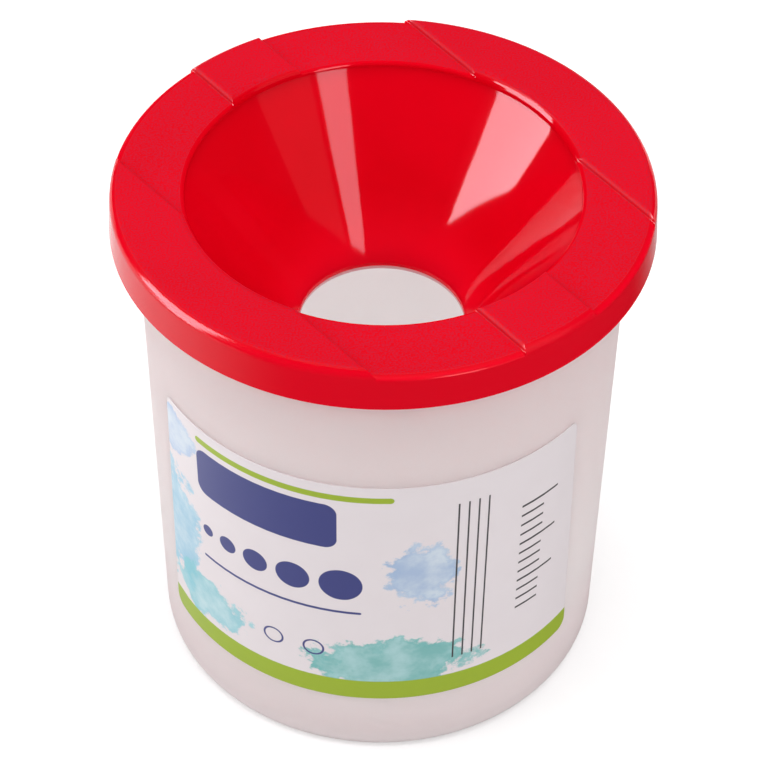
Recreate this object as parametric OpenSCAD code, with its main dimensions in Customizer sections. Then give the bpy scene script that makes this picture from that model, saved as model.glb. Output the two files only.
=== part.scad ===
// Water pot for paint brushes: a tapered cup, a push-on lid with a funnel and brush rests, and a wrap label.
// Millimetres, +Z up. The origin is the centre of the foot, and the middle of the label faces -Y.

/* [Cup] */
// Height of the cup from its foot to the top of its rim
cup_h = 102.4; // [85:0.2:140]
// Outer radius of the wall, taken down to the foot's level
foot_r = 42.2; // [36:0.1:43]
// Outer radius of the wall, taken up to the rim's level
neck_r = 43.3; // [43:0.1:50]
// Thickness of the cup's wall
cup_wall = 1.1; // [0.8:0.1:1.6]
// Thickness of the cup's floor
floor_t = 1.4; // [1:0.1:2.4]
// Height that the middle of the floor is raised by
foot_h = 1.2; // [0.6:0.1:2.5]
// Width of the flat ring that the cup stands on
foot_flat = 2.4; // [1.6:0.1:4]
// Rounding of the foot's outer edge
foot_round = 2.4; // [1.6:0.1:3.5]
// Rounding between the floor and the wall, inside
floor_round = 1.3; // [0.6:0.1:2]
// Radius of the gate mark under the floor
gate_r = 3.2; // [2:0.1:5]
// Depth of the gate mark's dimple
gate_dip = 0.4; // [0.2:0.1:0.8]

/* [Cup rim] */
// How far the rim stands out from the wall
rim_reach = 2.7; // [2.4:0.1:3.6]
// Thickness of the rim's top
rim_t = 1.2; // [0.9:0.1:1.8]
// Thickness of the rim's turned-down lip
rim_lip = 1; // [0.8:0.1:1.3]
// Height of the rim down to the end of its lip
rim_drop = 3; // [2.4:0.1:3.2]
// Rounding of the rim's top edges
rim_round = 0.4; // [0.2:0.05:0.5]

/* [Lid] */
// Thickness of the lid's walls
lid_wall = 1.3; // [1:0.1:1.6]
// Gap between the rim's top and the lid's underside
seat_gap = 0.1; // [0.05:0.05:0.2]
// Gap between the rim and the skirt
skirt_gap = 0.3; // [0.2:0.05:0.6]
// Height of the skirt, from the top of the raised lands
skirt_h = 7.9; // [7.5:0.1:12]
// How much wider the skirt is at its lower edge
skirt_flare = 0.4; // [0:0.1:1]
// Rounding of the lid's outer edge and of its mouth at the raised lands
land_round = 1.9; // [1.6:0.1:2.4]
// Gap between the rim and the snap bead, as the lid slides past
snap_gap = 0.1; // [0.05:0.01:0.1]
// Radius of the snap bead's section
snap_bead = 0.6; // [0.5:0.05:0.7]
// Gap between the end of the rim's lip and the snap bead
snap_play = 0.4; // [0.3:0.05:0.5]

/* [Brush rests] */
// Height of the steps between the raised lands and the low rests
step_h = 1.2; // [0.8:0.1:1.4]
// Fillet at the bottom of each step; the rounding at its top takes up the rest of its height
step_fillet = 0.2; // [0.2:0.05:0.5]
// Width of the middle land
land_w = 15; // [8:0.1:24]
// Width of each low rest, halfway along it
rest_w = 24.2; // [14:0.1:28]
// Turn of the rests about the lid's axis, from the front
rest_turn = 42.9; // [0:0.1:90]
// Angle by which each rest widens towards its far end
rest_splay = 1.6; // [0:0.1:4]

/* [Funnel] */
// Radius of the funnel's mouth
mouth_r = 34.6; // [24:0.1:37]
// Height of the mouth's upright edge, under its rounding
mouth_edge = 0.2; // [0.1:0.1:3]
// Radius of the bend from the mouth's edge into the cone
mouth_bend = 3; // [2:0.1:4]
// Radius of the funnel's hole
hole_r = 15.1; // [8:0.1:22]
// Depth of the hole's lower edge, from the top of the rests
hole_drop = 33.35; // [24:0.05:60]
// Height of the hole's upright edge, over its rounding
hole_edge = 0.2; // [0.1:0.1:3]
// Radius of the bend from the cone into the hole's edge
throat_bend = 13.5; // [4:0.1:14]

/* [Seal ring] */
// Height of the ring, from the underside of the rests
seal_h = 12.3; // [8:0.1:16]
// Thickness of the ring's wall
seal_wall = 1.1; // [0.8:0.1:1.5]
// How far the bead at the ring's lower end stands out from the wall
seal_reach = 0.35; // [0.2:0.05:0.5]
// Gap between that bead and the cup's wall
seal_gap = 0.1; // [0.05:0.01:0.1]

/* [Label] */
// Height of the label's lower edge over the foot
label_lift = 15.3; // [5:0.1:20]
// Height of the label
label_h = 57.7; // [30:0.1:62]
// Width of the label along its upper edge, measured round the cup
label_top_w = 86.2; // [50:0.1:100]
// Width of the label along its lower edge, measured round the cup
label_low_w = 89.6; // [50:0.1:100]
// Radius of the label's corners
label_round = 2.2; // [1:0.1:5]
// Thickness of the label
label_t = 0.15; // [0.1:0.01:0.3]
// Thickness of the glue behind the label
glue_t = 0.05; // [0.02:0.01:0.1]

/* [Hidden] */
$fn = 120;
// Straight runs that each small rounding is drawn with
arc_steps = 8;
// Straight runs that each of the funnel's wide bends is drawn with
bend_steps = 20;
// How far a cutting shape runs past what it cuts
past = 2;

cup_grey = [0.86, 0.83, 0.83];
lid_red = [0.88, 0.07, 0.12];
label_white = [0.95, 0.94, 0.95];

foot_edge = wall_r(foot_round) - foot_round;
foot_in = foot_edge - foot_flat;
// How far the floor's bends are shifted inside, so that the slope keeps the floor's thickness
floor_shift = floor_t * tan(22.5);
rim_r = neck_r + rim_reach;
rest_under = cup_h + seat_gap;
rest_top = rest_under + lid_wall;
land_top = rest_top + step_h;
land_under = land_top - lid_wall;
skirt_in = rim_r + skirt_gap;
skirt_r = skirt_in + lid_wall;
skirt_low_r = skirt_r + skirt_flare;
skirt_low = land_top - skirt_h;
snap_x = rim_r + snap_gap + snap_bead;
snap_z = cup_h - rim_drop - snap_play - snap_bead;
// All top roundings end at one height, so the rests' are as high as the step leaves of the lands'
rest_round = land_round - step_h;
step_round = step_h - step_fillet;
side_land = land_w / 2 + rest_w;
lip_round = lid_wall / 2;
hole_z = rest_top - hole_drop + lip_round;
// Middles of the funnel's two bends, which the cone between them touches
mouth_mid = [mouth_r - mouth_bend, land_top - land_round - mouth_edge];
throat_mid = [hole_r + throat_bend, hole_z + hole_edge];
between = mouth_mid - throat_mid;
// Angle between the cone and the lid's axis
cone_angle = atan2(between[0], between[1]) + asin((mouth_bend + throat_bend) / norm(between));
seal_bead = (seal_wall + seal_reach) / 2;
seal_z = rest_under - seal_h + seal_bead;
seal_crest = wall_r(seal_z) - cup_wall - seal_gap;
seal_r = seal_crest - seal_reach;

// Outer radius of the cup's wall at height z
function wall_r(z) = foot_r + (neck_r - foot_r) * z / cup_h;

// Points along an arc about c, from angle a0 to a1
function arc(c, r, a0, a1, steps = arc_steps) = [
    for (i = [0 : steps])
        let (a = a0 + (a1 - a0) * i / steps)
        c + r * [cos(a), sin(a)]
];

// Points along a quarter of an oval about c, from its side to its top
function oval(c, half_w, half_h) = [for (p = arc([0, 0], 1, 0, 90)) c + [half_w * p[0], half_h * p[1]]];

// Outside of the cup, from the middle of its underside to the top of its rim
function cup_outside() = concat(
    [
        [0, foot_h + gate_dip],
        [gate_r, foot_h + gate_dip],
        [gate_r + gate_dip, foot_h],
        [foot_in - foot_h, foot_h],
        [foot_in, 0]
    ],
    arc([foot_edge, foot_round], foot_round, -90, 0),
    [
        [wall_r(cup_h - rim_t), cup_h - rim_t],
        [rim_r - rim_lip, cup_h - rim_t],
        [rim_r - rim_lip, cup_h - rim_drop],
        [rim_r, cup_h - rim_drop]
    ],
    arc([rim_r - rim_round, cup_h - rim_round], rim_round, 0, 90)
);

// Inside of the cup, from its mouth down to the middle of its floor
function cup_inside() =
    let (bend = floor_t + floor_round)
    concat(
        arc([neck_r - cup_wall + rim_round, cup_h - rim_round], rim_round, 90, 180),
        arc([wall_r(bend) - cup_wall - floor_round, bend], floor_round, 0, -90),
        [
            [foot_in + floor_shift, floor_t],
            [foot_in - foot_h + floor_shift, foot_h + floor_t],
            [0, foot_h + floor_t]
        ]
    );

module cup() {
    color(cup_grey)
        rotate_extrude() polygon(concat(cup_outside(), cup_inside()));
}

// Wall of the funnel from its mouth down to its hole, at the given depth behind its inner surface
function funnel_line(depth) = concat(
    arc(mouth_mid, mouth_bend + depth, 0, -cone_angle, bend_steps),
    arc(throat_mid, throat_bend - depth, 180 - cone_angle, 180, bend_steps)
);

// Lid as a solid blank, with its top at the given level and its top edges rounded
module lid_blank(level, edge_round) {
    rotate_extrude() polygon(concat(
        [[skirt_low_r, hole_z], [skirt_low_r, skirt_low]],
        oval([skirt_r - land_round, level - edge_round], land_round, edge_round),
        arc([mouth_r + edge_round, level - edge_round], edge_round, 90, 180),
        funnel_line(0),
        arc([hole_r + lip_round, hole_z], lip_round, 180, 360)
    ));
}

// Hollow under the lid, between its skirt and its funnel, up to the given level
module lid_hollow(level) {
    rotate_extrude() difference() {
        polygon(concat(
            [
                [hole_r + lid_wall, hole_z - past],
                [skirt_low_r + past, hole_z - past],
                [skirt_low_r + past, skirt_low],
                [skirt_low_r - lid_wall, skirt_low],
                [skirt_in, snap_z],
                [skirt_in, land_top],
                [mouth_r + lid_wall, land_top]
            ],
            funnel_line(lid_wall)
        ));
        translate([0, level]) square([skirt_low_r, land_top]);
    }
}

// Bar across the lid, turned from the rests' middle line, with its cross-section as the child
module across(turn) {
    rotate(turn) rotate([90, 0, 0]) linear_extrude(2 * (skirt_low_r + past), center = true) children();
}

// The child once on each side of the rests' middle line
module both_sides() {
    for (side = [0, 1]) mirror([side, 0, 0]) children();
}

// Step from the rests up to a land, whose raised side lies before the given edge
function step(edge) = concat(
    arc([edge + step_fillet, rest_top + step_fillet], step_fillet, 270, 180),
    arc([edge - step_round, land_top - step_round], step_round, 0, 90)
);

// Raised lands: one in the middle and one beyond each rest
module lands() {
    outer = -skirt_low_r - past;
    both_sides() {
        across(0)
            polygon(concat([[0, skirt_low], [land_w / 2 + step_fillet, skirt_low]], step(land_w / 2), [[0, land_top]]));
        across(rest_splay)
            polygon(concat([[outer, skirt_low], [step_fillet - side_land, skirt_low]], step(-side_land), [[outer, land_top]]));
    }
}

// Hollows under the lands, a wall's thickness behind each step
module land_hollows() {
    middle = land_w - 2 * lid_wall;
    across(0) translate([-middle / 2, skirt_low]) square([middle, skirt_h]);
    both_sides() across(rest_splay)
        translate([-side_land - lid_wall - skirt_low_r, skirt_low]) square([skirt_low_r, skirt_h]);
}

// Plug that fits in the cup's mouth, with a bead at its lower end; it runs up into the lid's top
module seal_ring() {
    rotate_extrude() {
        translate([seal_r - seal_wall, seal_z]) square([seal_wall, land_top - seal_z]);
        translate([seal_crest - seal_bead, seal_z]) circle(seal_bead);
    }
}

// Bead inside the skirt that holds the lid under the cup's rim
module snap_ring() {
    rotate_extrude() translate([snap_x, snap_z]) circle(snap_bead);
}

module lid() {
    color(lid_red) difference() {
        union() {
            lid_blank(rest_top, rest_round);
            intersection() {
                lid_blank(land_top, land_round);
                rotate(rest_turn) lands();
            }
        }
        difference() {
            union() {
                lid_hollow(rest_under);
                intersection() {
                    lid_hollow(land_under);
                    rotate(rest_turn) land_hollows();
                }
            }
            seal_ring();
            snap_ring();
        }
    }
}

// Half of the label's width at height h over its lower edge
function label_half(h) = (label_low_w + (label_top_w - label_low_w) * h / label_h) / 2;

// Rounded corner of the label, on the right or the left, with the arc's centre at height h
function label_corner(side, h, a0, a1) =
    arc([side * (label_half(h) - label_round), h], label_round, a0, a1);

// Point as seen from the front, for one measured round the cup and up from the label's lower edge
function on_front(p) =
    let (z = label_lift + p[1], r = wall_r(z))
    [r * sin(p[0] / r * 180 / PI), z];

function label_outline() = [
    for (p = concat(
        label_corner(1, label_round, -90, 0),
        label_corner(1, label_h - label_round, 0, 90),
        label_corner(-1, label_h - label_round, 90, 180),
        label_corner(-1, label_round, 180, 270)
    )) on_front(p)
];

module label() {
    low = label_lift - past;
    top = label_lift + label_h + past;
    color(label_white) intersection() {
        rotate_extrude() polygon([
            [wall_r(low) + glue_t, low],
            [wall_r(low) + glue_t + label_t, low],
            [wall_r(top) + glue_t + label_t, top],
            [wall_r(top) + glue_t, top]
        ]);
        rotate([90, 0, 0]) linear_extrude(rim_r) polygon(label_outline());
    }
}

cup();
lid();
label();
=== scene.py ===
# Looks of the water pot for paint brushes: red funnel lid, frosted cup and printed film label.
# Metres, +Z up. The middle of the label faces -Y.

import math

import bpy
from mathutils import Matrix, Vector

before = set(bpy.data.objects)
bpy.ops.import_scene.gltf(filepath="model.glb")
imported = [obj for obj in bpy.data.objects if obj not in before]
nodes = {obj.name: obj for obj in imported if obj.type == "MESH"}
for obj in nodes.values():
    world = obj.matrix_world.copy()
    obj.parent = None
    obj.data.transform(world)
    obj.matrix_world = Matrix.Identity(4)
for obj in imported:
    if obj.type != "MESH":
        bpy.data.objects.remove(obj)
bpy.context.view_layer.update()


def paint(hex_colour):
    """An sRGB hex colour as the linear colour that the shaders take."""
    parts = [int(hex_colour[i:i + 2], 16) / 255 for i in (0, 2, 4)]
    return [c / 12.92 if c <= 0.04045 else ((c + 0.055) / 1.055) ** 2.4 for c in parts] + [1]


def add(tree, kind, inputs=None, **settings):
    """Adds a node with its settings, links or sets its inputs, and gives its outputs."""
    node = tree.nodes.new("ShaderNode" + kind)
    for name, value in settings.items():
        setattr(node, name, value)
    for socket, value in (inputs or {}).items():
        if isinstance(value, bpy.types.NodeSocket):
            tree.links.new(value, node.inputs[socket])
        else:
            node.inputs[socket].default_value = value
    return node.outputs


def new_finish(name):
    """An empty material and its node tree."""
    finish = bpy.data.materials.new(name)
    finish.use_nodes = True
    finish.node_tree.nodes.clear()
    return finish, finish.node_tree


def place_in_mm(tree):
    """Place on the piece in millimetres, and its height and distance from the axis."""
    where = add(tree, "VectorMath", {0: add(tree, "TexCoord")["Object"], "Scale": 1000}, operation="SCALE")[0]
    x, y, z = add(tree, "SeparateXYZ", {0: where})[:]
    across = add(tree, "CombineXYZ", {0: x, 1: y, 2: 0.0})[0]
    reach = add(tree, "VectorMath", {0: across}, operation="LENGTH")[1]
    return where, z, reach


def ramp(tree, value, low, high, at_low, at_high):
    """A smooth change from one number to another while value goes from low to high."""
    return add(tree, "MapRange", {0: value, 1: low, 2: high, 3: at_low, 4: at_high},
               interpolation_type="SMOOTHSTEP")[0]


def times(tree, *values):
    """Product of several masks."""
    out = values[0]
    for value in values[1:]:
        out = add(tree, "Math", {0: out, 1: value}, operation="MULTIPLY")[0]
    return out


def over(tree, mask, below, above):
    """One colour laid over another through a mask."""
    return add(tree, "Mix", {0: mask, 6: below, 7: above}, data_type="RGBA")[2]


# ---- Lid ----

def moulded_red_polypropylene():
    """Red polypropylene from a steel mould: polished in the funnel, so softboxes mirror in it as sharp
    pale strips, and spark-eroded on the flat top, which is nearly matt with a fine grain."""
    finish, tree = new_finish("moulded_red_polypropylene")
    where, z, reach = place_in_mm(tree)
    # The flat top lies between the funnel's mouth and the rounded outer edge, above the skirt
    flat_top = times(tree,
                     ramp(tree, z, 103.2, 103.6, 0.0, 1.0),
                     ramp(tree, reach, 35.1, 35.5, 0.0, 1.0),
                     ramp(tree, reach, 46.2, 46.9, 1.0, 0.0))
    skirt = ramp(tree, reach, 46.4, 47.2, 0.0, 1.0)
    # Pigment streaks from the gate, a few centimetres long and hardly visible
    streaks = add(tree, "TexNoise", {"Vector": where, "Scale": 0.05, "Detail": 3.0})[0]
    # Eroded grain of about 0.3 mm
    grain = add(tree, "TexNoise", {"Vector": where, "Scale": 3.2, "Detail": 2.0, "Roughness": 0.6})[0]
    red = over(tree, ramp(tree, streaks, 0.3, 0.7, 0.0, 1.0), paint("E40016"), paint("EA001A"))
    red = over(tree, times(tree, flat_top, ramp(tree, grain, 0.35, 0.65, 0.0, 0.5)), red, paint("BE2E48"))
    # Painted light: the skirt's red is painted a little lighter than the funnel's, standing in for the light on
    # the outside
    red = over(tree, skirt, red, paint("F00020"))
    # Painted light: near the hole the red is painted lighter for the light from the white cup under the wall
    red = over(tree, times(tree, ramp(tree, z, 71.0, 86.0, 1.0, 0.0), ramp(tree, reach, 30.0, 32.0, 1.0, 0.0)),
               red, paint("FF0A2A"))
    # Painted highlight: the thin lip of the hole is painted as a pale line
    lip_painted_highlight = times(tree, ramp(tree, z, 71.35, 71.6, 1.0, 0.0), ramp(tree, reach, 15.6, 16.2, 1.0, 0.0))
    red = over(tree, lip_painted_highlight, red, paint("FFDCE2"))
    rough = add(tree, "Math", {0: times(tree, flat_top, 0.34), 1: times(tree, skirt, 0.08)}, operation="ADD")[0]
    rough = add(tree, "Math", {0: rough, 1: 0.06}, operation="ADD")[0]
    # The photograph shows no break in the gloss where the funnel's wall bends into its mouth and its hole, so
    # those bends mirror as the cone does, whose wall stands about 37 degrees off the axis. Only the shading
    # is turned: the mesh keeps its bends
    outward = add(tree, "VectorMath", {0: where, 1: (1, 1, 0)}, operation="MULTIPLY")[0]
    outward = add(tree, "VectorMath", {0: outward}, operation="NORMALIZE")[0]
    cone_way = add(tree, "VectorMath", {0: outward, 1: (-0.8, -0.8, 0), 2: (0, 0, 0.6)},
                   operation="MULTIPLY_ADD")[0]
    cone_way = add(tree, "VectorTransform", {0: cone_way}, vector_type="NORMAL", convert_from="OBJECT",
                   convert_to="WORLD")[0]
    own_way = add(tree, "NewGeometry")["Normal"]
    facing = add(tree, "VectorMath", {0: own_way, 1: cone_way}, operation="DOT_PRODUCT")["Value"]
    bends = times(tree,
                  ramp(tree, facing, 0.2, 0.4, 0.0, 1.0),
                  ramp(tree, reach, 35.0, 35.4, 1.0, 0.0),
                  ramp(tree, z, 71.9, 72.6, 0.0, 1.0),
                  ramp(tree, z, 102.9, 103.2, 1.0, 0.0))
    way = add(tree, "Mix", {0: bends, 4: own_way, 5: cone_way}, data_type="VECTOR")[1]
    # Slow waves of the moulded wall, 12 mm long and a few hundredths deep
    waves = add(tree, "TexNoise", {"Vector": where, "Scale": 0.08, "Detail": 1.0})[0]
    waved = add(tree, "Bump", {"Height": waves, "Strength": 1.0, "Distance": 0.00003, "Normal": way})[0]
    grained = add(tree, "Bump", {"Height": times(tree, grain, flat_top), "Strength": 0.6, "Distance": 0.00001,
                                 "Normal": waved})[0]
    skin = add(tree, "BsdfPrincipled", {"Base Color": red, "Roughness": rough, "IOR": 1.49,
                                        "Specular IOR Level": 0.36, "Normal": grained})[0]
    # The eroded top is nearly matt, so it doesn't glare from low angles
    dull = add(tree, "BsdfDiffuse", {"Color": red, "Normal": grained})[0]
    skin = add(tree, "MixShader", {0: times(tree, flat_top, 0.85), 1: skin, 2: dull})[0]
    # The wall lets a little red light through
    through = add(tree, "BsdfTranslucent", {"Color": red})[0]
    shader = add(tree, "MixShader", {0: 0.14, 1: skin, 2: through})[0]
    add(tree, "OutputMaterial", {0: shader})
    return finish


# ---- Cup ----

def frosted_polypropylene():
    """Unpigmented polypropylene with a frosted skin: milky grey-white, lets light and the lid's red seal ring
    show through softly, and gives only a broad, weak sheen."""
    finish, tree = new_finish("frosted_polypropylene")
    where, z, reach = place_in_mm(tree)
    # Cloudiness of the wall, in patches of about 20 mm
    cloud = add(tree, "TexNoise", {"Vector": where, "Scale": 0.05, "Detail": 4.0, "Roughness": 0.6})[0]
    # Frost grain of about 0.25 mm
    frost = add(tree, "TexNoise", {"Vector": where, "Scale": 4.0, "Detail": 2.0})[0]
    milk = over(tree, ramp(tree, cloud, 0.3, 0.7, 0.0, 1.0), paint("F5F0F0"), paint("F8F3F3"))
    # Painted shade: near the foot the outside is painted a slightly deeper, rosier tone
    foot_painted_shade = times(tree, ramp(tree, z, 4.0, 28.0, 0.8, 0.0), ramp(tree, reach, 37.0, 38.5, 0.0, 1.0))
    milk = over(tree, foot_painted_shade, milk, paint("F0E2E3"))
    bumped = add(tree, "Bump", {"Height": frost, "Strength": 0.5, "Distance": 0.000015})[0]
    skin = add(tree, "BsdfPrincipled", {"Base Color": milk, "Roughness": 0.48, "IOR": 1.49, "Normal": bumped})[0]
    through = add(tree, "BsdfTranslucent", {"Color": paint("FFFEFE")})[0]
    # The floor is thicker than the wall and lets less light through
    shader = add(tree, "MixShader", {0: ramp(tree, z, 2.7, 6.0, 0.25, 0.57), 1: skin, 2: through})[0]
    add(tree, "OutputMaterial", {0: shader})
    return finish


# ---- Label ----

def rounded_patch(tree, print_place, middle, half, corner, soft=0.06):
    """Mask of a printed rectangle with rounded corners; a disc where the corner is half its size."""
    away = add(tree, "VectorMath", {0: print_place, 1: (*middle, 0)}, operation="SUBTRACT")[0]
    away = add(tree, "VectorMath", {0: away}, operation="ABSOLUTE")[0]
    inner = (half[0] - corner, half[1] - corner, 0)
    past = add(tree, "VectorMath", {0: away, 1: inner}, operation="SUBTRACT")[0]
    past = add(tree, "VectorMath", {0: past, 1: (0, 0, 0)}, operation="MAXIMUM")[0]
    gap = add(tree, "VectorMath", {0: past}, operation="LENGTH")[1]
    return ramp(tree, gap, corner - soft, corner + soft, 1.0, 0.0)


def wash(tree, print_place, middle, size, edge_noise):
    """Mask of a watercolour wash with a ragged edge, and of the darker line where its water dried."""
    away = add(tree, "VectorMath", {0: print_place, 1: (*middle, 0)}, operation="SUBTRACT")[0]
    away = add(tree, "VectorMath", {0: away, 1: (size[0], size[1], 1)}, operation="DIVIDE")[0]
    gap = add(tree, "VectorMath", {0: away}, operation="LENGTH")[1]
    ragged = add(tree, "Math", {0: edge_noise, 1: 1.9, 2: gap}, operation="MULTIPLY_ADD")[0]
    body = ramp(tree, ragged, 1.72, 1.92, 1.0, 0.0)
    rim = times(tree, body, ramp(tree, ragged, 1.55, 1.8, 0.0, 1.0))
    return body, rim


def printed_film():
    """Printed polypropylene film label: an even white with a soft sheen, flat solid inks with clean edges and
    pale washes with dried rims."""
    finish, tree = new_finish("printed_film")
    where, z, _ = place_in_mm(tree)
    x, y, _ = add(tree, "SeparateXYZ", {0: where})[:]
    front = add(tree, "Math", {0: y, 1: -1.0}, operation="MULTIPLY")[0]
    turn = add(tree, "Math", {0: x, 1: front}, operation="ARCTAN2")[0]
    # Distance round the cup from the label's middle, on its mean radius of 43 mm
    along = add(tree, "Math", {0: turn, 1: 43.0}, operation="MULTIPLY")[0]
    spot = add(tree, "CombineXYZ", {0: along, 1: z, 2: 0.0})[0]

    green, navy, grey = paint("A8C034"), paint("4A4E8C"), paint("4C484B")
    # Faint unevenness of the white ground, over about 8 mm
    ground = add(tree, "TexNoise", {"Vector": where, "Scale": 0.12, "Detail": 3.0})[0]
    ink = over(tree, ground, paint("EFE5E8"), paint("F3EAED"))

    # Washes: raggedness of about 5 mm, and paler and deeper pools of about 8 mm
    edge_noise = add(tree, "TexNoise", {"Vector": spot, "Scale": 0.2, "Detail": 6.0, "Roughness": 0.62})[0]
    pools = add(tree, "TexNoise", {"Vector": spot, "Scale": 0.11, "Detail": 4.0, "Roughness": 0.6})[0]
    for middle, size, pale, deep in (
        ((-42.5, 41.0), (9.0, 17.0), "CBE6F4", "8FCBE6"),
        ((-34.0, 27.0), (12.0, 7.0), "C4E9F0", "86D0DC"),
        ((6.0, 25.0), (17.0, 8.0), "A9DCDD", "62BDB9"),
        ((11.0, 50.0), (7.0, 9.0), "D9E8F6", "A5C1E4"),
        ((-40.0, 66.0), (6.0, 6.0), "DCEAF7", "AFC8EA"),
    ):
        body, rim = wash(tree, spot, middle, size, edge_noise)
        tint = over(tree, ramp(tree, pools, 0.35, 0.65, 0.0, 1.0), paint(pale), paint(deep))
        ink = over(tree, times(tree, body, 0.85), ink, tint)
        ink = over(tree, times(tree, rim, 0.5), ink, paint(deep))

    # Solid inks: a panel under a thin line, and the band along the foot of the label
    band = ramp(tree, z, 20.25, 20.35, 1.0, 0.0)
    for mask, colour in (
        (band, green),
        (rounded_patch(tree, spot, (-19.0, 62.2), (14.6, 5.6), 2.4), navy),
        (rounded_patch(tree, spot, (-14.0, 69.9), (19.6, 0.7), 0.7), green),
    ):
        ink = over(tree, mask, ink, colour)

    # A row of discs that grow like brush sizes, over a ruled line, and two rings
    for middle, r in ((-31.6, 1.3), (-26.6, 1.9), (-20.4, 2.6), (-12.8, 3.3), (-3.8, 4.0)):
        ink = over(tree, rounded_patch(tree, spot, (middle, 47.0), (r, r), r), ink, navy)
    ink = over(tree, rounded_patch(tree, spot, (-16.5, 39.6), (16.5, 0.3), 0.3), ink, navy)
    for middle in (-17.0, -9.0):
        disc = rounded_patch(tree, spot, (middle, 28.2), (2.1, 2.1), 2.1)
        hole = rounded_patch(tree, spot, (middle, 28.2), (1.7, 1.7), 1.7)
        ring = add(tree, "Math", {0: disc, 1: hole}, operation="SUBTRACT", use_clamp=True)[0]
        ink = over(tree, ring, ink, navy)

    # Ruled lines up the right side, 1.9 mm apart
    ruled = add(tree, "Math", {0: along, 1: 0.95}, operation="PINGPONG")[0]
    ruled = times(tree, ramp(tree, ruled, 0.12, 0.2, 1.0, 0.0),
                  rounded_patch(tree, spot, (20.0, 46.0), (4.2, 21.0), 0.2))
    ink = over(tree, ruled, ink, grey)
    # Level ticks, 2.5 mm apart, with a longer one each centimetre
    tick = add(tree, "Math", {0: z, 1: 1.25}, operation="PINGPONG")[0]
    tick = times(tree, ramp(tree, tick, 0.2, 0.3, 1.0, 0.0),
                 rounded_patch(tree, spot, (32.5, 46.25), (2.6, 15.4), 0.2))
    long_tick = add(tree, "Math", {0: z, 1: 5.0}, operation="PINGPONG")[0]
    long_tick = times(tree, ramp(tree, long_tick, 0.2, 0.3, 1.0, 0.0),
                      rounded_patch(tree, spot, (34.2, 46.25), (4.3, 15.4), 0.2))
    ink = over(tree, tick, ink, grey)
    ink = over(tree, long_tick, ink, grey)

    shader = add(tree, "BsdfPrincipled", {"Base Color": ink, "Roughness": 0.36, "IOR": 1.49})[0]
    add(tree, "OutputMaterial", {0: shader})
    return finish


# ---- Studio ----

def background_rays(tree):
    """1 for the rays that see the background: from the camera, a gloss or a clear piece."""
    path = add(tree, "LightPath")
    seen = add(tree, "Math", {0: path["Is Camera Ray"], 1: path["Is Glossy Ray"]}, operation="MAXIMUM")[0]
    return add(tree, "Math", {0: seen, 1: path["Is Transmission Ray"]}, operation="MAXIMUM")[0]


def pale_floor():
    """A white table top that keeps the pot's shadow."""
    bpy.ops.object.select_all(action="DESELECT")
    bpy.ops.mesh.primitive_plane_add(size=60)
    floor = bpy.context.object
    floor.name = "table_top"
    finish, tree = new_finish("white_paper_roll")
    paper = add(tree, "BsdfDiffuse", {"Color": paint("E6E6E6")})[0]
    # Far from the lamps the paper glows more, so the background stays white
    reach = add(tree, "VectorMath", {0: add(tree, "TexCoord")["Object"]}, operation="LENGTH")[1]
    glow = times(tree, background_rays(tree), ramp(tree, reach, 0.2, 1.4, 0.3, 0.65))
    glow = add(tree, "Emission", {"Color": paint("FFFFFF"), "Strength": glow})[0]
    add(tree, "OutputMaterial", {0: add(tree, "AddShader", {0: paper, 1: glow})[0]})
    floor.data.materials.append(finish)


def soft_world():
    """White all round for what sees it, and an even fill light."""
    world = bpy.data.worlds.new("studio")
    world.use_nodes = True
    tree = world.node_tree
    tree.nodes.clear()
    strength = ramp(tree, background_rays(tree), 0.0, 1.0, 0.5, 1.0)
    sky = add(tree, "Background", {"Color": paint("FFFFFF"), "Strength": strength})[0]
    add(tree, "OutputWorld", {0: sky})
    # Light from all round needs no aiming, and unaimed it can't pass behind the cloths
    world.cycles.sampling_method = "NONE"
    bpy.context.scene.world = world


def black_cloth(name, size, place, turn=(0.0, 0.0, 0.0), fade=0.0):
    """A black studio cloth: the gloss mirrors it, and it shades nothing. Its left edge thins out over a share
    of its width."""
    bpy.ops.object.select_all(action="DESELECT")
    bpy.ops.mesh.primitive_plane_add(size=1, location=place, rotation=[math.radians(a) for a in turn])
    cloth = bpy.context.object
    cloth.name = name
    cloth.scale = (*size, 1)
    finish, tree = new_finish("black_molton")
    shader = add(tree, "BsdfDiffuse", {"Color": paint("2A2A2A")})[0]
    if fade:
        x = add(tree, "SeparateXYZ", {0: add(tree, "TexCoord")["Object"]})[0]
        shader = add(tree, "MixShader", {0: ramp(tree, x, -0.5, fade - 0.5, 0.0, 1.0),
                                         1: add(tree, "BsdfTransparent")[0], 2: shader})[0]
    add(tree, "OutputMaterial", {0: shader})
    cloth.data.materials.append(finish)
    cloth.visible_camera = False
    cloth.visible_diffuse = False
    cloth.visible_transmission = False
    cloth.visible_shadow = False


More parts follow.
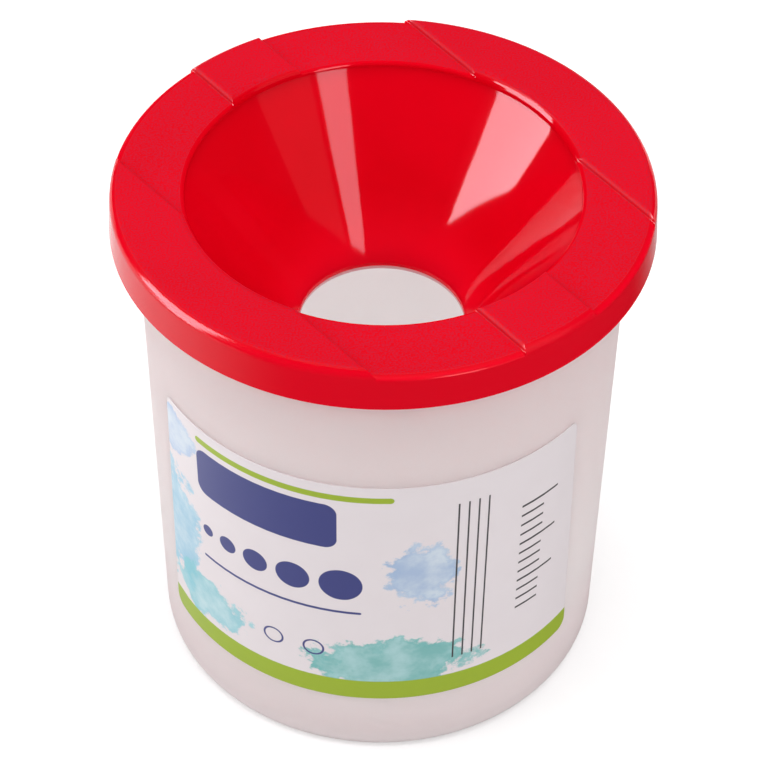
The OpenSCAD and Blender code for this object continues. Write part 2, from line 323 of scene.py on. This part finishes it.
def softbox(name, size, place, glow, lights):
    """A flat light that faces the pot: it either mirrors in the gloss or lights the matt colour."""
    lamp = bpy.data.lights.new(name, "AREA")
    lamp.shape = "RECTANGLE"
    lamp.size, lamp.size_y = size
    # An area light of P watts has a radiance of P / (4 x area)
    lamp.energy = 4 * glow * size[0] * size[1]
    # Daylight tubes, a little cooler than the fill
    if lights == "gloss":
        lamp.color = (0.97, 0.97, 1.06)
    light = bpy.data.objects.new(name, lamp)
    bpy.context.scene.collection.objects.link(light)
    light.location = place
    light.rotation_euler = (Vector((0, 0, 0.08)) - Vector(place)).to_track_quat("-Z", "Y").to_euler()
    light.visible_camera = False
    light.visible_glossy = lights == "gloss"
    light.visible_diffuse = lights == "colour"
    light.visible_transmission = lights == "colour"


def round_the_pot(turn, away, height):
    """A place at a turn in degrees from the front towards +X."""
    a = math.radians(turn)
    return (away * math.sin(a), -away * math.cos(a), height)


def camera():
    """The photograph's view: 44.8 degrees down, a little off the label's middle."""
    data = bpy.data.cameras.new("camera")
    data.sensor_width = 36
    data.lens = 125.23
    view = bpy.data.objects.new("camera", data)
    bpy.context.scene.collection.objects.link(view)
    turn = Matrix.Rotation(math.radians(4), 4, "Z")
    down = Matrix.Rotation(math.radians(90 - 44.802), 4, "X")
    roll = Matrix.Rotation(math.radians(0.759), 4, "Z")
    place = Matrix.Translation((0.000528, -0.35352, 0.40647))
    view.matrix_world = turn @ place @ down @ roll
    bpy.context.scene.camera = view


for name, finish in (("lid", moulded_red_polypropylene()), ("cup", frosted_polypropylene()),
                     ("label", printed_film())):
    for material_slot in nodes[name].material_slots:
        material_slot.material = finish

pale_floor()
soft_world()
for turn in range(0, 360, 60):
    black_cloth("cloth_wall", (2.4, 2.6), round_the_pot(turn, 2.0, 1.3), (90.0, 0.0, float(turn)))
black_cloth("cloth_roof", (4.8, 4.8), (0.0, 0.0, 2.6))
black_cloth("cloth_on_table", (1.1, 1.6), (0.318, -0.318, 0.001), (0.0, 0.0, -45.0), fade=0.15)
softbox("key_strip_right", (0.33, 1.3), round_the_pot(35, 1.2, 0.65), 4.2, "gloss")
softbox("key_box_left", (0.75, 1.1), round_the_pot(-80, 1.2, 0.55), 9.5, "gloss")
softbox("wall_right", (0.64, 1.3), round_the_pot(63.5, 1.2, 0.65), 0.22, "gloss")
softbox("fill_left", (1.0, 1.2), round_the_pot(-75, 1.4, 0.7), 1.6, "colour")
softbox("fill_right", (1.0, 1.2), round_the_pot(65, 1.4, 0.7), 1.02, "colour")
softbox("top_light", (1.2, 1.2), (0.0, 0.0, 1.6), 2.5, "colour")
camera()

bpy.context.scene.view_settings.view_transform = "Standard"
